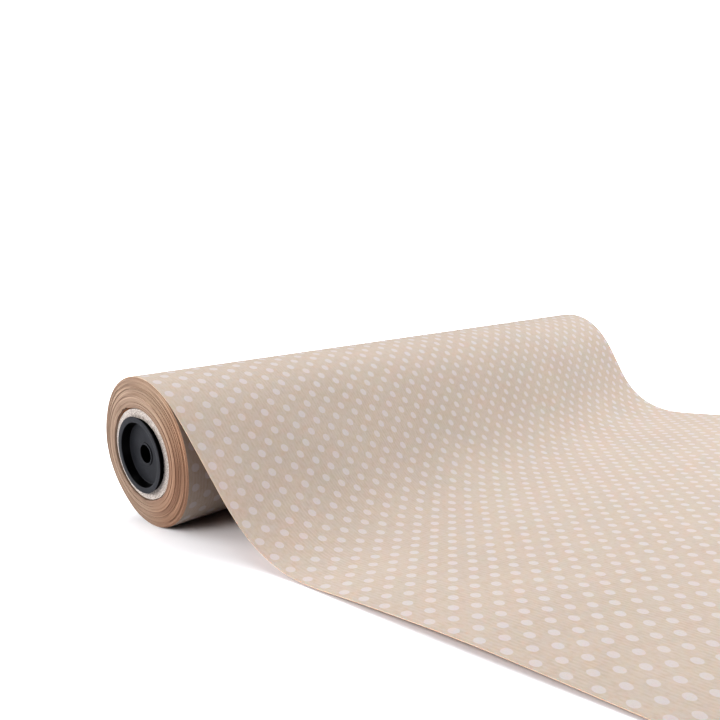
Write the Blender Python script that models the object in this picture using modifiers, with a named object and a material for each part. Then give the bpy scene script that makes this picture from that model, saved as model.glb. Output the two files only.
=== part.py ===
"""A part-used roll of printed wrapping paper: a cardboard core with an end plug in each end, the wound
paper, the tape under its first turn, and the loose sheet that comes off the top and lies on the floor.

Metres, +Z up. The roll's axis runs along X, the sheet is drawn off towards -Y, and the floor is z = 0.
The origin is on the floor, at the middle of the space that the roll and its sheet take up.
"""

import math

import bpy

MM = 0.001

# Roll
PAPER_WIDTH = 550 * MM
ROLL_RADIUS = 49.5 * MM
EDGE_CHAMFER = 0.3 * MM
TURN_STEPS = 96

# Core and the tape that holds the first turn to it
CORE_RADIUS = 30 * MM
CORE_WALL = 6 * MM
CORE_RECESS = 0.5 * MM
FIT_GAP = 0.3 * MM
TAPE_THICKNESS = 0.15 * MM
TAPE_LENGTH = 540 * MM
TAPE_FROM, TAPE_TO = math.radians(-50), math.radians(-12)

# Loose sheet. Its angles are measured from the top of the roll, positive towards -Y.
SHEET_THICKNESS = 0.3 * MM
SHEET_REACH = 400 * MM
SHEET_START = math.radians(-30)
SHEET_LEAVES = math.radians(42)
SHEET_STEEPEST = math.radians(57)
SHOULDER_LENGTH = 40 * MM
ARC_STEP = math.radians(3)

# End plug. Heights are along its axis, outwards from the end of the paper.
RIM_RADIUS = 25.3 * MM
RIM_WIDTH = 4 * MM
RIM_HEIGHT = 5 * MM
RIM_CHAMFER = 0.3 * MM
SKIRT_MOUTH_RADIUS = 23.6 * MM
SKIRT_TIP_RADIUS = 23.2 * MM
SKIRT_WALL = 1.8 * MM
SKIRT_DEPTH = 20 * MM
RECESS_DEPTH = 5.5 * MM
RECESS_FLOOR_RADIUS = 19.9 * MM
FLOOR_THICKNESS = 2.5 * MM
HOLE_RADIUS = 6 * MM
LIP_RADIUS = 7.5 * MM
LIP_HEIGHT = 0.6 * MM
LIP_CHAMFER = 0.5 * MM
HUB_WALL = 2 * MM
HUB_DEPTH = 16 * MM

# Worked out from the sizes above
ROLL_Y = (SHEET_REACH - ROLL_RADIUS) / 2
ROLL_Z = ROLL_RADIUS
HALF_WIDTH = PAPER_WIDTH / 2
WINDING_BORE = CORE_RADIUS + 2 * FIT_GAP + TAPE_THICKNESS
ACROSS_X = (math.pi / 2, 0, math.pi / 2)


def clear_scene():
    for old in list(bpy.data.objects):
        bpy.data.objects.remove(old, do_unlink=True)


def new_collection(name):
    collection = bpy.data.collections.new(name)
    bpy.context.scene.collection.children.link(collection)
    return collection


def new_material(name, colour, roughness):
    material = bpy.data.materials.new(name)
    material.use_nodes = True
    shader = material.node_tree.nodes["Principled BSDF"]
    shader.inputs["Base Color"].default_value = (*colour, 1)
    shader.inputs["Roughness"].default_value = roughness
    shader.inputs["Metallic"].default_value = 0
    return material


def new_empty(name, collection, location):
    empty = bpy.data.objects.new(name, None)
    empty.empty_display_size = 0.02
    empty.location = location
    collection.objects.link(empty)
    return empty


def place(obj, parent, location, rotation):
    obj.parent = parent
    obj.location = location
    obj.rotation_euler = rotation


def turned_part(name, collection, outline, material):
    """A closed outline of (radius, height) points, down its outer side first, turned about Z."""
    mesh = bpy.data.meshes.new(name)
    points = [(radius, 0, height) for radius, height in outline]
    edges = [(i, (i + 1) % len(points)) for i in range(len(points))]
    mesh.from_pydata(points, edges, [])
    mesh.materials.append(material)
    obj = bpy.data.objects.new(name, mesh)
    collection.objects.link(obj)
    screw = obj.modifiers.new("Turn", "SCREW")
    screw.axis = "Z"
    screw.angle = 2 * math.pi
    screw.steps = TURN_STEPS
    screw.render_steps = TURN_STEPS
    screw.use_merge_vertices = True
    screw.merge_threshold = 0.00001
    screw.use_smooth_shade = False
    return obj


def sheet_part(name, collection, profile, width, thickness, material):
    """An open profile of (y, z) points, drawn out along X by width and given a thickness."""
    curve = bpy.data.curves.new(name, "CURVE")
    curve.dimensions = "2D"
    curve.extrude = width / 2
    spline = curve.splines.new("POLY")
    spline.points.add(len(profile) - 1)
    for point, (y, z) in zip(spline.points, profile):
        point.co = (y, z, 0, 1)
    curve.materials.append(material)
    obj = bpy.data.objects.new(name, curve)
    collection.objects.link(obj)
    shell = obj.modifiers.new("Thickness", "SOLIDIFY")
    shell.thickness = thickness
    shell.offset = 0
    shell.use_even_offset = True
    return obj


def arc_points(centre, radius, start, end):
    """Points round an arc. Angles are from straight up, positive towards -Y."""
    steps = max(2, math.ceil(abs(end - start) / ARC_STEP))
    points = []
    for i in range(steps + 1):
        angle = start + (end - start) * i / steps
        points.append((centre[0] - radius * math.sin(angle), centre[1] + radius * math.cos(angle)))
    return points


def tube_outline(outer, inner, half_length):
    return [
        (outer - EDGE_CHAMFER, half_length),
        (outer, half_length - EDGE_CHAMFER),
        (outer, EDGE_CHAMFER - half_length),
        (outer - EDGE_CHAMFER, -half_length),
        (inner, -half_length),
        (inner, half_length),
    ]


def sheet_profile():
    """On the roll, then a shoulder that steepens, a hollow that eases onto the floor, and a flat tail."""
    middle = ROLL_RADIUS + FIT_GAP + SHEET_THICKNESS / 2
    on_roll = arc_points((0, ROLL_Z), middle, SHEET_START, SHEET_LEAVES)
    leave_y, leave_z = on_roll[-1]

    radius = SHOULDER_LENGTH / (SHEET_STEEPEST - SHEET_LEAVES)
    centre = (leave_y + radius * math.sin(SHEET_LEAVES), leave_z - radius * math.cos(SHEET_LEAVES))
    shoulder = arc_points(centre, radius, SHEET_LEAVES, SHEET_STEEPEST)
    hollow_y, hollow_z = shoulder[-1]

    floor_z = SHEET_THICKNESS / 2
    radius = (hollow_z - floor_z) / (1 - math.cos(SHEET_STEEPEST))
    centre = (hollow_y - radius * math.sin(SHEET_STEEPEST), floor_z + radius)
    hollow = arc_points(centre, radius, math.pi + SHEET_STEEPEST, math.pi)

    return on_roll + shoulder[1:] + hollow[1:] + [(-SHEET_REACH, floor_z)]


def plug_outline():
    floor_top = RIM_HEIGHT - RECESS_DEPTH
    floor_under = floor_top - FLOOR_THICKNESS
    rim_inner = RIM_RADIUS - RIM_WIDTH
    skirt_inner = SKIRT_TIP_RADIUS - SKIRT_WALL
    lip_top = floor_top + LIP_HEIGHT
    return [
        (RIM_RADIUS - RIM_CHAMFER, RIM_HEIGHT),
        (RIM_RADIUS, RIM_HEIGHT - RIM_CHAMFER),
        (SKIRT_MOUTH_RADIUS, 0),
        (SKIRT_TIP_RADIUS, -SKIRT_DEPTH),
        (skirt_inner, -SKIRT_DEPTH),
        (skirt_inner, floor_under),
        (HOLE_RADIUS + HUB_WALL, floor_under),
        (HOLE_RADIUS + HUB_WALL, -HUB_DEPTH),
        (HOLE_RADIUS, -HUB_DEPTH),
        (HOLE_RADIUS, lip_top - LIP_CHAMFER),
        (HOLE_RADIUS + LIP_CHAMFER, lip_top),
        (LIP_RADIUS - LIP_CHAMFER, lip_top),
        (LIP_RADIUS, floor_top),
        (RECESS_FLOOR_RADIUS, floor_top),
        (rim_inner, RIM_HEIGHT - RIM_CHAMFER),
        (rim_inner + RIM_CHAMFER, RIM_HEIGHT),
    ]


def build():
    clear_scene()
    collection = new_collection("wrapping_paper_roll")

    kraft = new_material("kraft_paper", (0.62, 0.44, 0.30), 0.75)
    board = new_material("core_board", (0.56, 0.50, 0.44), 0.9)
    tape = new_material("start_tape", (0.50, 0.33, 0.20), 0.5)
    plastic = new_material("black_plastic", (0.03, 0.03, 0.033), 0.5)

    axis = new_empty("roll_axis", collection, (0, ROLL_Y, ROLL_Z))
    along_x = (0, math.pi / 2, 0)

    wound = turned_part(
        "wound_paper", collection, tube_outline(ROLL_RADIUS, WINDING_BORE, HALF_WIDTH), kraft
    )
    place(wound, axis, (0, 0, 0), along_x)

    core_bore = CORE_RADIUS - CORE_WALL
    core = turned_part(
        "core_tube", collection, tube_outline(CORE_RADIUS, core_bore, HALF_WIDTH - CORE_RECESS), board
    )
    place(core, axis, (0, 0, 0), along_x)

    tape_middle = CORE_RADIUS + FIT_GAP + TAPE_THICKNESS / 2
    tape_profile = arc_points((0, 0), tape_middle, TAPE_FROM, TAPE_TO)
    strip = sheet_part("start_tape", collection, tape_profile, TAPE_LENGTH, TAPE_THICKNESS, tape)
    place(strip, axis, (0, 0, 0), ACROSS_X)

    for name, side in (("end_plug_left", -1), ("end_plug_right", 1)):
        plug = turned_part(name, collection, plug_outline(), plastic)
        place(plug, axis, (side * HALF_WIDTH, 0, 0), (0, side * math.pi / 2, 0))

    sheet = sheet_part(
        "loose_sheet", collection, sheet_profile(), PAPER_WIDTH, SHEET_THICKNESS, kraft
    )
    place(sheet, None, (0, ROLL_Y, 0), ACROSS_X)


build()
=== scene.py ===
"""Looks for the wrapping paper roll: printed kraft paper with a layered end face, a board core, moulded end
plugs, a pale floor, soft light and the camera. Everything is in metres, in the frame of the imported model."""

import math

import bpy
import numpy as np
from mathutils import Matrix, Vector


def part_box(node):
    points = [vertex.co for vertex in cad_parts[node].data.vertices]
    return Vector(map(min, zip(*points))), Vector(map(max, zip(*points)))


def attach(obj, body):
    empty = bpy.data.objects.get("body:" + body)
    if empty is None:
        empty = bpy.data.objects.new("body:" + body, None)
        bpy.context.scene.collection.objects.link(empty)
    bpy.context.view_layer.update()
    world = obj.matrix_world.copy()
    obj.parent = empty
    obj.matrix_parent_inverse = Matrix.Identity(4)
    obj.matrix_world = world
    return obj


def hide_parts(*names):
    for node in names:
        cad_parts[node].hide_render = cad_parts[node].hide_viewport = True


MM = 0.001

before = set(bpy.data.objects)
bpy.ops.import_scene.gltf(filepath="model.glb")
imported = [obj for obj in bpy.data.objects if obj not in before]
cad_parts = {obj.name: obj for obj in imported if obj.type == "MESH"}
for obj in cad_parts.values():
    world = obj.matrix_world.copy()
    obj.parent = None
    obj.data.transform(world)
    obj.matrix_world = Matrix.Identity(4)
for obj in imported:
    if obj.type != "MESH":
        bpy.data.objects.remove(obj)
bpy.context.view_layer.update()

# ---------------------------------------------------------------- sizes taken from the frame

wound_low, wound_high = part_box("wound_paper")
core_low, core_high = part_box("core_tube")
plug_low, plug_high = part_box("end_plug_left")
sheet_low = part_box("loose_sheet")[0]

HALF_WIDTH = wound_high.x
PAPER_WIDTH = 2 * HALF_WIDTH
ROLL_RADIUS = (wound_high.z - wound_low.z) / 2
AXIS = Vector((0, (wound_low.y + wound_high.y) / 2, ROLL_RADIUS))
CORE_RADIUS = (core_high.z - core_low.z) / 2
CORE_HALF_LENGTH = core_high.x
RIM_RADIUS = (plug_high.z - plug_low.z) / 2
RIM_HEIGHT = wound_low.x - plug_low.x
SKIRT_DEPTH = plug_high.x - wound_low.x
SHEET_REACH = AXIS.y - sheet_low.y

# ---------------------------------------------------------------- sizes of the detail

# Print: a staggered grid of round dots. Steps run across the web and along it.
DOT_STEP = (18.66 * MM, 13.74 * MM)
DOT_RADIUS = 2.75 * MM
# One dot's middle: across from the near edge, and along the web from the roll's top
DOT_AT = (210.4 * MM, 98.7 * MM)
DOT_SOFTNESS = 0.25 * MM
DOT_WOBBLE = 0.3 * MM
RIB_PITCH = 2.35 * MM

# Loose sheet. It leaves the roll, straightens at its steepest slope, then curves out over the landing length.
# The first value is at the near edge (-X), the second at the far one.
LEAVING_SLOPE = np.radians([20, 23])
STEEPEST_SLOPE = np.radians([49, 60])
LANDING_LENGTH = np.array([107, 104]) * MM
SHEET_THICKNESS = 0.22 * MM
SHEET_GAP = 0.08 * MM
SHEET_START = math.radians(-30)
# Over its first stretch the sheet grows from a share of its thickness to the whole of it: length, share
START_THINNING = (10 * MM, 0.12)
# Light that gets through the sheet: its share, the stretch from the roll's top over which that share grows,
# how far it spreads inside the paper, and how much of that reach each of red, green and blue has
GLOW = 0.7
GLOW_STRETCH = 60 * MM
GLOW_REACH = 0.5 * MM
GLOW_SPREAD = (1, 0.35, 0.2)
SHEET_ROWS = 240
SHEET_COLUMNS = 150
DRAPE_SAMPLES = 400
REST_HEIGHT = 0.3 * MM

# Swells of the sheet where it lies on the floor: height, place across, place along the web, and their sizes
SWELLS = np.array([
    [3.5, 0, 280, 100, 85],
    [3.0, 535, 270, 110, 95],
    [2.0, 280, 360, 145, 95],
]) * MM
# Where along the web the swells set in, and over what length
SWELLS_FROM = 150 * MM
SWELLS_GROW = 70 * MM

# Windings. At the near end (-X) the inner turns stand out, most on the +Y side.
TURN_COLUMNS = 256
BODY_ROWS = 24
LAYERS = 46
WINDING_GAP = 0.25 * MM
WINDING_BORE = CORE_RADIUS + WINDING_GAP
STAND_OUT = (3.0 * MM, 1.0 * MM)
LEAN = 1.0 * MM
# Turns that stand out of the end face or lie back in it: share of the way out from the bore, height
PROUD_TURNS = ((0.03, 0.4 * MM), (0.3, 0.25 * MM), (0.62, 0.3 * MM), (0.74, -0.2 * MM), (0.81, 0.4 * MM),
               (0.88, -0.25 * MM), (0.95, 0.25 * MM))
# Flats on the outer turns: degrees from the top towards -Y, half-width in degrees, depth
FLATS = ((95, 45, 1.3 * MM), (-63, 30, 0.8 * MM), (-132, 32, 0.9 * MM))
# Gaps between the core and the first turn: degrees from the top towards -Y, half-width, depth
BORE_GAPS = ((-30, 26, 0.9 * MM), (140, 20, 0.5 * MM), (180, 16, 0.4 * MM))
# How unevenly they open: the least share of their depth, and the random part's share and spread
GAP_CRUMPLE = (0.6, 0.8, 1.6)

# How unevenly the layers stand out: drift from layer to layer, scatter, rare steps, and a slow wander round
# the roll whose direction turns by about WANDER_TURN from one layer to the next
LAYER_DRIFT = 0.10 * MM
LAYER_SCATTER = 0.07 * MM
LAYER_STEP = 0.25 * MM
STEP_CHANCE = 0.12
LAYER_WANDER = 0.35 * MM
WANDER_TURN = 0.35

# Taped start of the web, between the core and the first turn
FOLD_TURN = np.radians([-54, -8])
FOLD_RISE = 0.35 * MM
FOLD_CREASES = 0.7 * MM
FOLD_WANDER = 0.5 * MM
FOLD_LIMITS = (-0.3 * MM, 0.6 * MM)
FOLD_THICKNESS = 0.18 * MM
FOLD_ROWS = 40
FOLD_COLUMNS = 60

# Core and end plugs
ROUND_COLUMNS = 192
CORE_WALL = 6 * MM
CORE_STANDS_OUT = 2.3 * MM
CORE_ROUGHNESS = 0.06 * MM
CORE_RINGS = 12
CORE_CLEARANCE = 0.1 * MM
RIM_WIDTH = 4 * MM
SKIRT_RADIUS = 23.6 * MM
SKIRT_WALL = 1.8 * MM
SKIRT_TAPER = 0.4 * MM
RECESS_DEPTH = 5.5 * MM
RECESS_FLOOR_RADIUS = 19.9 * MM
FLOOR_THICKNESS = 2.5 * MM
HOLE_RADIUS = 6 * MM
HUB_RADIUS = 8 * MM
HUB_DEPTH = 16 * MM
LIP_RADIUS = 7.6 * MM
LIP_HEIGHT = 0.6 * MM
PLUG_ROUNDING = 0.4 * MM

# Light and camera
DOME_STRENGTH = 0.08
FLOOR_COLOUR = (0.86, 0.87, 0.9, 1)
FLOOR_SIDE = 40
FLOOR_DROP = 0.02 * MM
# Distances from the object over which the floor fades into the white backdrop
BACKDROP_FADE = (0.45, 1.3)
# Softboxes: name, place, side, power in watts, colour
SOFTBOXES = (
    ("overhead", (0.2, 0.4, 1.4), 1.4, 17.4, (1, 1, 1)),
    ("front_right", (0.8, -1.2, 1.0), 0.9, 27, (1, 1, 1)),
    ("left", (-1.4, 0.2, 0.7), 0.8, 12, (1, 0.98, 0.96)),
    ("back_left", (-0.9, 1.2, 0.7), 0.8, 9, (1, 0.99, 0.98)),
    ("far_end", (1.4, 0.3, 0.6), 0.8, 1.5, (1, 1, 1)),
)
# The camera's place from the foot of the roll's near end, and its yaw, pitch and roll
CAMERA_FROM_NEAR_END = (-0.227, -0.4133, 0.1616)
CAMERA_TURN = np.radians([45.72, 18.02, -1.93])
FOCAL_LENGTH = 35.91
SENSOR_WIDTH = 36
LENS_SHIFT = 0.1914
LENS_SHIFT_REACH = 20 * MM


# ---------------------------------------------------------------- meshes


def grid_object(name, points, web=None, close_rows=False, close_columns=False, material_rows=None):
    """A mesh object over a grid of points [row, column, xyz], with (u, v) per point in web.
    material_rows gives each row of faces its material index."""
    rows, columns = points.shape[:2]
    row_faces = rows if close_rows else rows - 1
    column_faces = columns if close_columns else columns - 1
    i, j = np.meshgrid(np.arange(row_faces), np.arange(column_faces), indexing="ij")
    next_i = (i + 1) % rows
    next_j = (j + 1) % columns
    corners = np.stack(
        [i * columns + j, next_i * columns + j, next_i * columns + next_j, i * columns + next_j], axis=-1
    ).reshape(-1, 4)
    mesh = bpy.data.meshes.new(name)
    mesh.from_pydata(points.reshape(-1, 3).tolist(), [], corners.tolist())
    if web is not None:
        steps = np.stack([i, i + 1, i + 1, i], axis=-1)
        across = np.stack([j, j, j + 1, j + 1], axis=-1)
        layer = mesh.uv_layers.new(name="web")
        layer.data.foreach_set("uv", web[steps, across].astype(np.float32).ravel())
    if material_rows is not None:
        index = np.repeat(np.asarray(material_rows), column_faces)
        mesh.polygons.foreach_set("material_index", index.astype(np.int32))
    mesh.polygons.foreach_set("use_smooth", np.ones(len(mesh.polygons), bool))
    obj = bpy.data.objects.new(name, mesh)
    bpy.context.scene.collection.objects.link(obj)
    return obj


def give_materials(obj, *materials):
    for material in materials:
        obj.data.materials.append(material)


def sharpen_border(obj):
    """Marks an open sheet's border, so that its faces aren't shaded round the cut edges of its thickness."""
    mesh = obj.data
    edge_at = np.empty(len(mesh.loops), np.int32)
    mesh.loops.foreach_get("edge_index", edge_at)
    faces = np.bincount(edge_at, minlength=len(mesh.edges))
    mesh.edges.foreach_set("use_edge_sharp", faces == 1)


def smooth_line(values, passes):
    """Values along a line, each replaced a few times by the mean of itself and its neighbours."""
    for _ in range(passes):
        before = np.concatenate([values[:1], values[:-1]])
        after = np.concatenate([values[1:], values[-1:]])
        values = (before + 2 * values + after) / 4
    return values


# ---------------------------------------------------------------- materials


def linear(*srgb):
    """An sRGB colour, each channel 0 to 255, as the linear colour that Blender's nodes take."""
    channels = [c / 255 for c in srgb]
    return tuple(c / 12.92 if c <= 0.04045 else ((c + 0.055) / 1.055) ** 2.4 for c in channels) + (1,)


class Shader:
    """One material's nodes, with a method for each kind of node that is used here."""

    def __init__(self, name):
        self.material = bpy.data.materials.new(name)
        self.material.use_nodes = True
        self.tree = self.material.node_tree
        self.surface = self.tree.nodes["Principled BSDF"]

    def node(self, kind, **settings):
        made = self.tree.nodes.new("ShaderNode" + kind)
        for key, value in settings.items():
            setattr(made, key, value)
        return made

    def feed(self, socket, value):
        if isinstance(value, bpy.types.NodeSocket):
            self.tree.links.new(value, socket)
        else:
            socket.default_value = value

    def web(self):
        """(across, along) the web, in metres."""
        return self.node("UVMap", uv_map="web").outputs[0]

    def position(self):
        return self.node("TexCoord").outputs["Object"]

    def math(self, operation, *values):
        made = self.node("Math", operation=operation)
        for socket, value in zip(made.inputs, values):
            self.feed(socket, value)
        return made.outputs[0]

    def vector(self, operation, *values):
        made = self.node("VectorMath", operation=operation)
        for socket, value in zip(made.inputs, values):
            self.feed(socket, value)
        return made.outputs["Value" if operation in ("LENGTH", "DOT_PRODUCT") else "Vector"]

    def noise(self, vector, scale, detail=2.0, roughness=0.5):
        made = self.node("TexNoise")
        self.feed(made.inputs["Vector"], vector)
        made.inputs["Scale"].default_value = scale
        made.inputs["Detail"].default_value = detail
        made.inputs["Roughness"].default_value = roughness
        return made.outputs["Fac"]

    def remap(self, value, low, high, to_low=0.0, to_high=1.0):
        made = self.node("MapRange", interpolation_type="SMOOTHSTEP")
        for socket, number in zip(made.inputs, (value, low, high, to_low, to_high)):
            self.feed(socket, number)
        return made.outputs[0]

    def mix(self, share, first, second):
        made = self.node("Mix", data_type="RGBA")
        self.feed(made.inputs[0], share)
        self.feed(made.inputs[6], first)
        self.feed(made.inputs[7], second)
        return made.outputs[2]

    def bump(self, height, distance, strength=1.0, normal=None):
        made = self.node("Bump")
        made.inputs["Strength"].default_value = strength
        made.inputs["Distance"].default_value = distance
        self.feed(made.inputs["Height"], height)
        if normal is not None:
            self.feed(made.inputs["Normal"], normal)
        return made.outputs[0]

    def let_light_through(self):
        """A single sheet glows warm on its shaded side. The turns on the roll are too many for that."""
        along = self.node("SeparateXYZ")
        self.feed(along.inputs[0], self.web())
        share = self.remap(along.outputs[1], 0, GLOW_STRETCH, 0, GLOW)
        self.feed(self.surface.inputs["Subsurface Weight"], share)
        self.surface.inputs["Subsurface Radius"].default_value = GLOW_SPREAD
        self.surface.inputs["Subsurface Scale"].default_value = GLOW_REACH

    def finish(self, colour, roughness, normal=None, specular=0.5):
        self.feed(self.surface.inputs["Base Color"], colour)
        self.feed(self.surface.inputs["Roughness"], roughness)
        self.feed(self.surface.inputs["Specular IOR Level"], specular)
        if normal is not None:
            self.feed(self.surface.inputs["Normal"], normal)
        return self.material


def kraft_base(shader, where):
    """Tan paper: slow tone changes, fibres that run along the web, and its height for bump."""
    tone = shader.noise(where, 18, 3)
    fibre_space = shader.vector("MULTIPLY", where, (1.0, 0.16, 1.0))
    fibres = shader.noise(fibre_space, 1500, 3, 0.6)
    flecks = shader.noise(shader.vector("MULTIPLY", where, (1.0, 0.45, 1.0)), 520, 4, 0.65)
    colour = shader.mix(shader.remap(tone, 0.3, 0.7), linear(156, 146, 137), linear(159, 149, 140))
    colour = shader.mix(shader.remap(flecks, 0.42, 0.68, 0.0, 0.35), colour, linear(144, 130, 114))
    colour = shader.mix(shader.remap(fibres, 0.35, 0.75, 0.0, 0.25), colour, linear(167, 157, 149))
    return colour, fibres


def rib_height(shader, where):
    """Fine, slightly uneven ribs that run along the web: 0 in a groove, 1 on a crest."""
    across = shader.node("SeparateXYZ")
    shader.feed(across.inputs[0], where)
    turns = shader.math("MULTIPLY", across.outputs[0], 2 * math.pi / RIB_PITCH)
    uneven = shader.math("MULTIPLY_ADD", shader.noise(where, 60, 2), 5.0, turns)
    height = shader.math("MULTIPLY_ADD", shader.math("SINE", uneven), 0.5, 0.5)
    return shader.math("MULTIPLY", height, shader.remap(shader.noise(where, 35, 2), 0.35, 0.65, 0.4, 1.0))


def dot_mask(shader, where):
    """1 inside a printed dot, 0 outside, with the soft edge of flexographic ink."""
    from_dot = shader.vector("SUBTRACT", where, (DOT_AT[0] - HALF_WIDTH, DOT_AT[1], 0))
    half = (DOT_STEP[0] / 2, DOT_STEP[1] / 2, 1)
    other_half = (-half[0], -half[1], -1)
    first = shader.vector("WRAP", from_dot, half, other_half)
    shifted = shader.vector("ADD", from_dot, (half[0], half[1], 0))
    second = shader.vector("WRAP", shifted, half, other_half)
    distance = shader.math("MINIMUM", shader.vector("LENGTH", first), shader.vector("LENGTH", second))
    wobble = shader.math("MULTIPLY_ADD", shader.noise(where, 900, 2), DOT_WOBBLE, -DOT_WOBBLE / 2)
    distance = shader.math("ADD", distance, wobble)
    return shader.remap(distance, DOT_RADIUS - DOT_SOFTNESS, DOT_RADIUS + DOT_SOFTNESS, 1.0, 0.0)


def printed_kraft():
    shader = Shader("printed_kraft")
    where = shader.web()
    colour, fibres = kraft_base(shader, where)
    ribs = rib_height(shader, where)
    colour = shader.mix(shader.math("MULTIPLY", ribs, 0.15), colour, linear(132, 118, 104))
    dots = dot_mask(shader, where)
    ink_cover = shader.remap(shader.noise(where, 1300, 3), 0.25, 0.6, 0.72, 0.97)
    colour = shader.mix(shader.math("MULTIPLY", dots, ink_cover), colour, linear(164, 157, 157))
    normal = shader.bump(ribs, 0.03 * MM)
    normal = shader.bump(fibres, 0.02 * MM, 0.6, normal)
    roughness = shader.remap(fibres, 0.3, 0.7, 0.66, 0.8)
    shader.let_light_through()
    return shader.finish(colour, roughness, normal, 0.3)


def plain_kraft():
    shader = Shader("plain_kraft")
    where = shader.web()
    colour, fibres = kraft_base(shader, where)
    colour = shader.mix(0.9, colour, linear(160, 106, 76))
    normal = shader.bump(rib_height(shader, where), 0.02 * MM)
    normal = shader.bump(fibres, 0.03 * MM, 0.8, normal)
    shader.let_light_through()
    return shader.finish(colour, 0.8, normal, 0.25)


def cut_edge():
    shader = Shader("cut_edge")
    tone = shader.noise(shader.position(), 400, 3)
    colour = shader.mix(tone, linear(214, 178, 146), linear(236, 212, 188))
    return shader.finish(colour, 0.85, shader.bump(tone, 0.05 * MM), 0.2)


def toward(shader, degrees):
    """How far a point lies from the roll's axis towards one side. Degrees run from the top to -Y."""
    angle = math.radians(degrees)
    from_axis = shader.vector("SUBTRACT", shader.position(), tuple(AXIS))
    return shader.vector("DOT_PRODUCT", from_axis, (0, -math.sin(angle), math.cos(angle)))


def layered_edges():
    """The end face: thousands of paper edges, seen as bands that run round the roll. It is painted darker and
    redder where the sheet comes off, as painted shade, and lighter at the top, as painted light."""
    shader = Shader("layered_edges")
    where = shader.web()
    band_space = shader.vector("MULTIPLY", where, (1.0, 0.012, 1.0))
    broad = shader.noise(band_space, 300, 2, 0.5)
    fine = shader.noise(band_space, 1700, 3, 0.7)
    light_turns = shader.noise(shader.vector("ADD", band_space, (0.3, 0.1, 0)), 1100, 2, 0.6)
    colour = shader.mix(shader.remap(broad, 0.32, 0.68), linear(142, 123, 110), linear(152, 134, 120))
    colour = shader.mix(shader.remap(fine, 0.5, 0.72, 0.0, 0.6), colour, linear(120, 96, 81))
    colour = shader.mix(shader.remap(light_turns, 0.57, 0.68, 0.0, 0.6), colour, linear(186, 165, 148))
    # Painted shade: darker and redder towards the side where the sheet comes off. Painted light: lighter
    # towards the top.
    painted_shade_side = shader.remap(toward(shader, 112), 4 * MM, 42 * MM)
    painted_light_side = shader.remap(toward(shader, 45), 25 * MM, 44 * MM)
    colour = shader.vector("MULTIPLY", colour, shader.mix(painted_shade_side, (1, 1, 1, 1), (1.0, 0.86, 0.78, 1)))
    colour = shader.vector("MULTIPLY", colour, shader.mix(painted_light_side, (1, 1, 1, 1), (1.19, 1.19, 1.17, 1)))
    return shader.finish(colour, 0.85, shader.bump(fine, 0.08 * MM), 0.2)


def grey_board():
    shader = Shader("grey_board")
    where = shader.position()
    grains = shader.noise(where, 1150, 3, 0.7)
    patches = shader.noise(where, 260, 3)
    colour = shader.mix(shader.remap(grains, 0.3, 0.7), linear(130, 122, 117), linear(202, 195, 190))
    colour = shader.mix(shader.remap(patches, 0.55, 0.8, 0.0, 0.5), colour, linear(158, 146, 138))
    return shader.finish(colour, 0.9, shader.bump(grains, 0.06 * MM), 0.2)


def paper_tape():
    shader = Shader("paper_tape")
    grain = shader.noise(shader.position(), 700, 3)
    colour = shader.mix(grain, linear(150, 104, 74), linear(182, 134, 100))
    return shader.finish(colour, 0.55, shader.bump(grain, 0.05 * MM), 0.4)


def black_plastic():
    """Faces across the axis carry the mould's fine grain, being rougher, and keep the plastic's dark grey; the
    walls along it are smooth and painted near black, as painted shade.
    """
    shader = Shader("black_plastic")
    where = shader.position()
    grain = shader.noise(where, 2600, 2)
    scuffs = shader.noise(where, 90, 4, 0.6)
    facing = shader.node("SeparateXYZ")
    shader.feed(facing.inputs[0], shader.node("TexCoord").outputs["Normal"])
    faces_without_painted_shade = shader.remap(shader.math("ABSOLUTE", facing.outputs[0]), 0.35, 0.75)
    colour = shader.mix(shader.remap(scuffs, 0.45, 0.75, 0.0, 0.6), linear(42, 43, 47), linear(52, 53, 58))
    # Painted shade: the walls along the axis are painted near black; the faces across it keep the plastic's
    # colour.
    colour = shader.mix(faces_without_painted_shade, linear(9, 9, 10), colour)
    roughness = shader.remap(faces_without_painted_shade, 0.0, 1.0, 0.3, 0.45)
    normal = shader.bump(grain, 0.02 * MM, 0.5)
    return shader.finish(colour, roughness, normal, shader.remap(faces_without_painted_shade, 0.0, 1.0, 0.06, 0.16))


# ---------------------------------------------------------------- loose sheet


def ease(share):
    """0 up to 1 with no slope at either end."""
    share = np.clip(share, 0, 1)
    return share * share * (3 - 2 * share)


def drape_slopes(along, share):
    """The sheet's slope at each distance along the web from the roll's top. share is 0 at the near edge, 1 at
    the far one. The steep straight part is as long as it takes to come down to the floor."""
    leaving, steepest, landing = ((1 - share) * near + share * far
                                  for near, far in (LEAVING_SLOPE, STEEPEST_SLOPE, LANDING_LENGTH))
    radius = ROLL_RADIUS + SHEET_GAP + SHEET_THICKNESS
    leaves_at = leaving * ROLL_RADIUS
    steepening = 2 * ROLL_RADIUS * (steepest - leaving)
    part = np.linspace(0, 1, DRAPE_SAMPLES)
    drop = radius * (1 - math.cos(leaving))
    drop += steepening * np.sin(leaving + (steepest - leaving) * part * (2 - part)).mean()
    drop += landing * np.sin(steepest * (1 - ease(part))).mean()
    straight = (radius + AXIS.z - SHEET_THICKNESS - REST_HEIGHT - drop) / math.sin(steepest)
    straight_at = leaves_at + steepening
    lands_from = straight_at + straight
    steepened = np.clip((along - leaves_at) / steepening, 0, 1)
    slope = leaving + (steepest - leaving) * steepened * (2 - steepened)
    slope = np.where(along < leaves_at, along / ROLL_RADIUS, slope)
    return np.where(along > lands_from, steepest * (1 - ease((along - lands_from) / landing)), slope)


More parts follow.
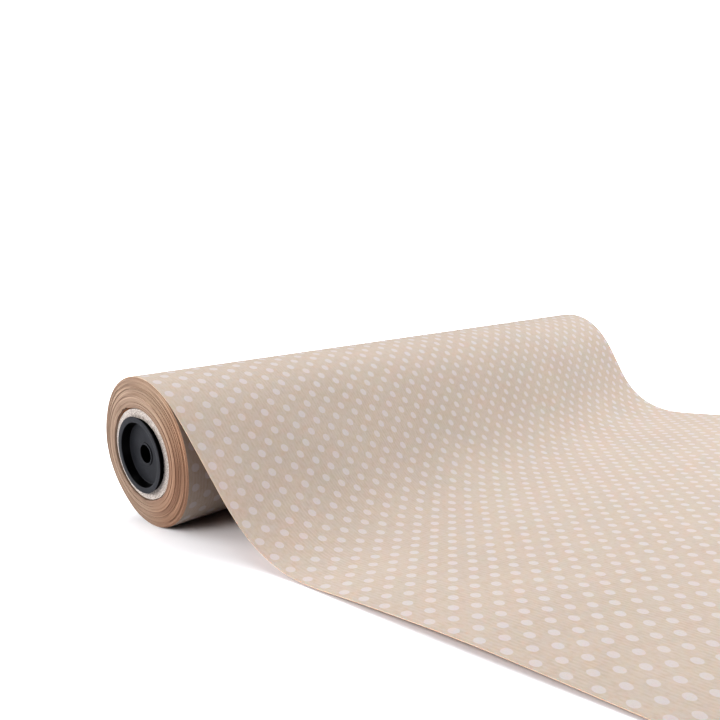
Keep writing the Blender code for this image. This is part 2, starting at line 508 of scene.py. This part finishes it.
def side_profile(along, share):
    """(y, z) of the sheet's upper face along the web, from the roll's axis."""
    radius = ROLL_RADIUS + SHEET_GAP + SHEET_THICKNESS
    slope = drape_slopes(along, share)
    middle = (slope[1:] + slope[:-1]) / 2
    step = along[1] - along[0]
    on_roll = along[1:] < ROLL_RADIUS * LEAVING_SLOPE.mean()
    step = np.where(on_roll, step * radius / ROLL_RADIUS, step)
    y = np.concatenate([[0], np.cumsum(-np.cos(middle) * step)])
    z = np.concatenate([[0], np.cumsum(-np.sin(middle) * step)])
    return y - radius * math.sin(slope[0]), z + radius * math.cos(slope[0])


def thinning(along):
    """The sheet's share of its full thickness: little at its start, so that it runs into the turn below."""
    length, least = START_THINNING
    return least + (1 - least) * ease((along - SHEET_START * ROLL_RADIUS) / length)


def sheet_points():
    """The sheet's upper face as a grid of points, and each point's (across, along) on the web."""
    # The sheet ends where its middle has come out to SHEET_REACH, found along a trial sheet that is too long.
    start = SHEET_START * ROLL_RADIUS
    trial = np.linspace(start, SHEET_REACH * 1.4, 2 * SHEET_ROWS)
    end = np.interp(SHEET_REACH, -side_profile(trial, 0.5)[0], trial)
    along = np.linspace(start, end, SHEET_ROWS)
    across = np.linspace(-HALF_WIDTH, HALF_WIDTH, SHEET_COLUMNS)
    share = (across + HALF_WIDTH) / PAPER_WIDTH
    profiles = [side_profile(along, part) for part in share]
    y = np.stack([profile[0] for profile in profiles], axis=1)
    z = np.stack([profile[1] for profile in profiles], axis=1)

    # The two edges land at different distances, so the sheet turns a little on the floor and drifts along X.
    slope = drape_slopes(along, 0.5)
    turn = np.cos(slope) * (y[:, -1] - y[:, 0]) + np.sin(slope) * (z[:, -1] - z[:, 0])
    drift = np.cumsum(turn) / PAPER_WIDTH * (along[1] - along[0])
    x = across[None, :] + drift[:, None]

    # Where the sheet is thin it lies closer to the roll.
    sunk = (1 - thinning(along)) * (SHEET_GAP + SHEET_THICKNESS)
    y += (np.sin(slope) * sunk)[:, None]
    z -= (np.cos(slope) * sunk)[:, None]
    points = np.stack([x, AXIS.y + y, AXIS.z + z], axis=-1)
    web = np.stack(np.broadcast_arrays(across[None, :], along[:, None]), axis=-1)
    return points, web


def swells(web):
    """How far the sheet stands off the floor at each point of the web."""
    across, along = web[..., 0] + HALF_WIDTH, web[..., 1]
    lift = np.zeros_like(along)
    for height, at, at_along, size, size_along in SWELLS:
        lift += height * np.exp(-(((across - at) / size) ** 2) - ((along - at_along) / size_along) ** 2)
    return lift * ease((along - SWELLS_FROM) / SWELLS_GROW)


def loose_sheet(printed, plain, edge):
    points, web = sheet_points()
    points[..., 2] += swells(web)
    sheet = grid_object("printed_sheet", points, web)
    give_materials(sheet, printed, plain, edge)
    sharpen_border(sheet)
    taper = sheet.vertex_groups.new(name="thickness")
    for row, weight in enumerate(thinning(web[:, 0, 1])):
        start = row * SHEET_COLUMNS
        taper.add(range(start, start + SHEET_COLUMNS), weight, "REPLACE")
    shell = sheet.modifiers.new("Thickness", "SOLIDIFY")
    shell.thickness = SHEET_THICKNESS
    shell.offset = -1
    shell.vertex_group = taper.name
    shell.material_offset = 1
    shell.material_offset_rim = 2
    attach(sheet, "sheet")
    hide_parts("loose_sheet")
    return sheet


# ---------------------------------------------------------------- windings


def layer_offsets(random, angles):
    """How far each layer of the end face stands out, [layer, angle]."""
    drift = np.cumsum(random.normal(0, LAYER_DRIFT, LAYERS))
    drift -= np.linspace(drift[0], drift[-1], LAYERS)
    scatter = random.normal(0, LAYER_SCATTER, LAYERS)
    steps = np.where(random.random(LAYERS) < STEP_CHANCE, random.normal(0, LAYER_STEP, LAYERS), 0)
    wander_size = smooth_line(random.normal(0, LAYER_WANDER, LAYERS), 2)
    wander_turn = np.cumsum(random.normal(0, WANDER_TURN, LAYERS))
    wander = wander_size[:, None] * np.cos(angles[None, :] - wander_turn[:, None])
    offsets = (drift + scatter + steps)[:, None] + wander
    # A proud turn fades to a fifth of its height on the opposite side, and each is proudest somewhere else.
    for share, height in PROUD_TURNS:
        offsets[round(share * LAYERS)] += height * (0.6 + 0.4 * np.cos(angles - share * 9))
    return offsets


def end_face(random, angles, stand_out, lean):
    """Rows of (radius, height) points for one end face, from the bore outwards, as shallow steps."""
    offsets = layer_offsets(random, angles)
    share = np.linspace(0, 1, LAYERS + 1)
    radii = WINDING_BORE + share * (ROLL_RADIUS - WINDING_BORE)
    rows_r, rows_h = [], []
    for layer in range(LAYERS):
        fall = math.cos(share[layer] * math.pi / 2)
        height = offsets[layer] + fall * (stand_out - lean * np.sin(angles))
        for radius in (radii[layer], radii[layer + 1]):
            rows_r.append(np.full_like(angles, radius))
            rows_h.append(height)
    return np.array(rows_r), np.array(rows_h)


def round_depths(angles, places):
    """The depth at each angle of dips given by their place, their half-width (both in degrees) and depth."""
    depth = np.zeros_like(angles)
    for at, half_width, size in places:
        off = (np.degrees(angles) - at + 180) % 360 - 180
        depth += size * (1 - ease(abs(off) / half_width))
    return depth


def windings(printed, layered):
    random = np.random.default_rng(11)
    angles = SHEET_START - np.linspace(0, 2 * math.pi, TURN_COLUMNS, endpoint=False)
    near_r, near_h = end_face(random, angles, STAND_OUT[0], LEAN)
    far_r, far_h = end_face(random, angles, STAND_OUT[1], 0)
    least, part, spread = GAP_CRUMPLE
    crumple = least + part * np.abs(smooth_line(random.normal(0, spread, TURN_COLUMNS), 3))
    bore = round_depths(angles, BORE_GAPS) * crumple
    flats = round_depths(angles, FLATS)
    # The gaps open only the innermost fifth of the windings. The flats grow outwards from the bore.
    for radius in (near_r, far_r):
        share = (radius - WINDING_BORE) / (ROLL_RADIUS - WINDING_BORE)
        radius += bore * np.clip(1 - share * 5, 0, 1) ** 2 - flats * share

    body = np.linspace(-1, 1, BODY_ROWS + 2)[1:-1, None] * HALF_WIDTH
    body_x = np.broadcast_to(body, (BODY_ROWS, TURN_COLUMNS))
    body_r = np.broadcast_to(ROLL_RADIUS - flats, body_x.shape)
    # The bore is hidden by the core, so it has only every sixth row.
    hole_x = -body_x[::6]
    hole_r = np.broadcast_to(WINDING_BORE + bore, hole_x.shape)
    x = np.concatenate([-HALF_WIDTH - near_h, body_x, (HALF_WIDTH + far_h)[::-1], hole_x])
    radius = np.concatenate([near_r, body_r, far_r[::-1], hole_r])
    y = AXIS.y - radius * np.sin(angles)
    z = AXIS.z + radius * np.cos(angles)
    points = np.stack([x, y, z], axis=-1)

    # On the end faces the web's first coordinate is the radius, so that the bands run round the roll.
    face_rows = 2 * LAYERS
    along = (SHEET_START - np.linspace(0, 2 * math.pi, TURN_COLUMNS + 1)) * ROLL_RADIUS
    across = np.concatenate([near_r, body_x, far_r[::-1], hole_x])
    across = np.concatenate([across, across[:1]])
    across = np.concatenate([across, across[:, :1]], axis=1)
    across[face_rows - 1] = -HALF_WIDTH
    across[face_rows + BODY_ROWS] = HALF_WIDTH
    web = np.stack([across, np.broadcast_to(along, across.shape)], axis=-1)
    rows = len(points)
    material_rows = np.ones(rows, int)
    material_rows[face_rows - 1 : face_rows + BODY_ROWS] = 0
    roll = grid_object("paper_windings", points, web, close_rows=True, close_columns=True,
                       material_rows=material_rows)
    give_materials(roll, printed, layered)
    roll.data.set_sharp_from_angle(angle=math.radians(40))
    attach(roll, "roll")
    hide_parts("wound_paper")
    return roll


# ---------------------------------------------------------------- core, start of the web, plugs


def turned(name, outline, at, outwards):
    """A closed outline of (radius, height) points turned about the roll's axis. Heights run outwards from the
    point at, towards -X or +X."""
    angles = np.linspace(0, 2 * math.pi, ROUND_COLUMNS, endpoint=False)
    outline = np.array(outline)
    radius = outline[:, 0][:, None]
    x = np.broadcast_to(at + outwards * outline[:, 1][:, None], (len(outline), ROUND_COLUMNS))
    y = AXIS.y - outwards * radius * np.sin(angles)
    z = AXIS.z + radius * np.cos(angles)
    return grid_object(name, np.stack([x, y, z], axis=-1), close_rows=True, close_columns=True)


def rounded(outline, radius, steps=4):
    """The same closed outline with each corner replaced by a small arc."""
    points = [np.array(point, float) for point in outline]
    result = []
    for k, corner in enumerate(points):
        before, after = points[k - 1], points[(k + 1) % len(points)]
        into, out = before - corner, after - corner
        reach = min(radius, 0.45 * np.linalg.norm(into), 0.45 * np.linalg.norm(out))
        start = corner + into / np.linalg.norm(into) * reach
        end = corner + out / np.linalg.norm(out) * reach
        for t in np.linspace(0, 1, steps):
            result.append((1 - t) ** 2 * start + 2 * t * (1 - t) * corner + t * t * end)
    return result


def core_tube(board):
    ends = np.linspace(CORE_RADIUS - CORE_CLEARANCE, CORE_RADIUS - CORE_WALL, CORE_RINGS)
    outline = [(r, CORE_HALF_LENGTH) for r in ends[::-1]]
    outline += [(r, -HALF_WIDTH - CORE_STANDS_OUT) for r in ends]
    core = turned("board_core", outline, 0, 1)
    random = np.random.default_rng(5)
    mesh = core.data
    for vertex in mesh.vertices:
        near = vertex.co.x < 0
        tilt = (vertex.co.y - AXIS.y) / CORE_RADIUS * LEAN * near
        vertex.co.x += random.normal(0, CORE_ROUGHNESS) - tilt
    give_materials(core, board)
    mesh.set_sharp_from_angle(angle=math.radians(50))
    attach(core, "roll")
    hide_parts("core_tube")
    return core


def start_fold(tape):
    """The taped start of the web, creased where it lies between the core and the first turn."""
    random = np.random.default_rng(3)
    turn = np.linspace(*FOLD_TURN, FOLD_COLUMNS)
    creases = smooth_line(random.normal(0, FOLD_CREASES, FOLD_COLUMNS), 2)
    wander = smooth_line(random.normal(0, FOLD_WANDER, (FOLD_ROWS, FOLD_COLUMNS)), 4)
    inside = np.sin(np.linspace(0, math.pi, FOLD_COLUMNS))
    radius = WINDING_BORE + inside * (FOLD_RISE + np.clip(creases + wander, *FOLD_LIMITS))
    x = np.linspace(-HALF_WIDTH - STAND_OUT[0], HALF_WIDTH, FOLD_ROWS)[:, None]
    x = np.broadcast_to(x, (FOLD_ROWS, FOLD_COLUMNS))
    points = np.stack([x, AXIS.y - radius * np.sin(turn), AXIS.z + radius * np.cos(turn)], axis=-1)
    fold = grid_object("start_fold", points)
    give_materials(fold, tape)
    sharpen_border(fold)
    shell = fold.modifiers.new("Thickness", "SOLIDIFY")
    shell.thickness = FOLD_THICKNESS
    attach(fold, "roll")
    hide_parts("start_tape")
    return fold


def plug(name, node, body, side, plastic):
    floor = RIM_HEIGHT - RECESS_DEPTH
    floor_under = floor - FLOOR_THICKNESS
    skirt_tip = SKIRT_RADIUS - SKIRT_TAPER
    skirt_inner = skirt_tip - SKIRT_WALL
    outline = [
        (RIM_RADIUS, RIM_HEIGHT),
        (SKIRT_RADIUS, CORE_STANDS_OUT + LEAN),
        (skirt_tip, -SKIRT_DEPTH),
        (skirt_inner, -SKIRT_DEPTH),
        (skirt_inner, floor_under),
        (HUB_RADIUS, floor_under),
        (HUB_RADIUS, -HUB_DEPTH),
        (HOLE_RADIUS, -HUB_DEPTH),
        (HOLE_RADIUS, floor + LIP_HEIGHT),
        (LIP_RADIUS, floor + LIP_HEIGHT),
        (LIP_RADIUS, floor),
        (RECESS_FLOOR_RADIUS, floor),
        (RIM_RADIUS - RIM_WIDTH, RIM_HEIGHT),
    ]
    made = turned(name, rounded(outline, PLUG_ROUNDING), side * HALF_WIDTH, side)
    give_materials(made, plastic)
    made.data.set_sharp_from_angle(angle=math.radians(35))
    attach(made, body)
    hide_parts(node)
    return made


# ---------------------------------------------------------------- stage, light and camera


def white_floor():
    """A pale floor that runs out into the white backdrop: far from the object the camera sees it as white."""
    bpy.ops.mesh.primitive_plane_add(size=FLOOR_SIDE, location=(0, 0, -FLOOR_DROP))
    floor = bpy.context.object
    floor.name = "floor"
    shader = Shader("white_floor")
    away = shader.remap(shader.vector("LENGTH", shader.position()), *BACKDROP_FADE)
    seen = shader.node("LightPath").outputs["Is Camera Ray"]
    shader.surface.inputs["Emission Color"].default_value = (1, 1, 1, 1)
    shader.feed(shader.surface.inputs["Emission Strength"], shader.math("MULTIPLY", away, seen))
    give_materials(floor, shader.finish(FLOOR_COLOUR, 0.9, None, 0.0))


def world_light():
    """A faint even dome. The camera sees it as plain white."""
    world = bpy.data.worlds.new("studio")
    bpy.context.scene.world = world
    world.use_nodes = True
    nodes, links = world.node_tree.nodes, world.node_tree.links
    dome = nodes["Background"]
    dome.inputs["Color"].default_value = (0.96, 0.98, 1.0, 1)
    dome.inputs["Strength"].default_value = DOME_STRENGTH
    seen = nodes.new("ShaderNodeBackground")
    seen.inputs["Color"].default_value = (1, 1, 1, 1)
    path = nodes.new("ShaderNodeLightPath")
    mix = nodes.new("ShaderNodeMixShader")
    links.new(path.outputs["Is Camera Ray"], mix.inputs[0])
    links.new(dome.outputs[0], mix.inputs[1])
    links.new(seen.outputs[0], mix.inputs[2])
    links.new(mix.outputs[0], nodes["World Output"].inputs["Surface"])


def softbox(name, place, side, power, colour):
    """A square area light that looks at the middle of the object and that the camera doesn't see."""
    light = bpy.data.lights.new(name, "AREA")
    light.size = side
    light.energy = power
    light.color = colour
    lamp = bpy.data.objects.new(name, light)
    lamp.location = place
    lamp.rotation_euler = (-Vector(place)).to_track_quat("-Z", "Y").to_euler()
    lamp.visible_camera = False
    bpy.context.scene.collection.objects.link(lamp)


def shift_lens(lens, eye):
    """Shifts the lens while the camera stands where it is now. A view from elsewhere stays centred.
    The driver measures how far the camera is from here, and its curve steps from the shift down to 0."""
    here = bpy.data.objects.new("camera_place", None)
    here.location = eye.location
    bpy.context.scene.collection.objects.link(here)
    curve = lens.driver_add("shift_y")
    # A new driver's curve has a straight-line modifier, which would hide its keys.
    curve.modifiers.remove(curve.modifiers[0])
    curve.driver.type = "AVERAGE"
    distance = curve.driver.variables.new()
    distance.type = "LOC_DIFF"
    distance.targets[0].id = eye
    distance.targets[1].id = here
    for away, shift in ((0, LENS_SHIFT), (LENS_SHIFT_REACH, 0)):
        curve.keyframe_points.insert(away, shift).interpolation = "CONSTANT"


def camera():
    """Low beside the roll's near end, looking along the roll. The lens is shifted to place the object in the
    picture."""
    lens = bpy.data.cameras.new("camera")
    lens.lens = FOCAL_LENGTH
    lens.sensor_width = SENSOR_WIDTH
    eye = bpy.data.objects.new("camera", lens)
    bpy.context.scene.collection.objects.link(eye)
    near_end = Vector((-HALF_WIDTH, AXIS.y, 0))
    eye.location = near_end + Vector(CAMERA_FROM_NEAR_END)
    yaw, pitch, roll = CAMERA_TURN
    turn = Matrix.Rotation(-yaw, 4, "Z") @ Matrix.Rotation(math.pi / 2 - pitch, 4, "X")
    eye.rotation_mode = "QUATERNION"
    eye.rotation_quaternion = (turn @ Matrix.Rotation(roll, 4, "Z")).to_quaternion()
    shift_lens(lens, eye)
    bpy.context.scene.camera = eye


# ---------------------------------------------------------------- the whole scene

printed = printed_kraft()
plain = plain_kraft()
edge = cut_edge()
layered = layered_edges()
plastic = black_plastic()

loose_sheet(printed, plain, edge)
windings(printed, layered)
core_tube(grey_board())
start_fold(paper_tape())
plug("left_plug_moulding", "end_plug_left", "left_plug", -1, plastic)
plug("right_plug_moulding", "end_plug_right", "right_plug", 1, plastic)

white_floor()
world_light()
for name, place, side, power, colour in SOFTBOXES:
    softbox(name, place, side, power, colour)
camera()
bpy.context.scene.view_settings.view_transform = "Standard"
bpy.context.scene.view_settings.look = "High Contrast"
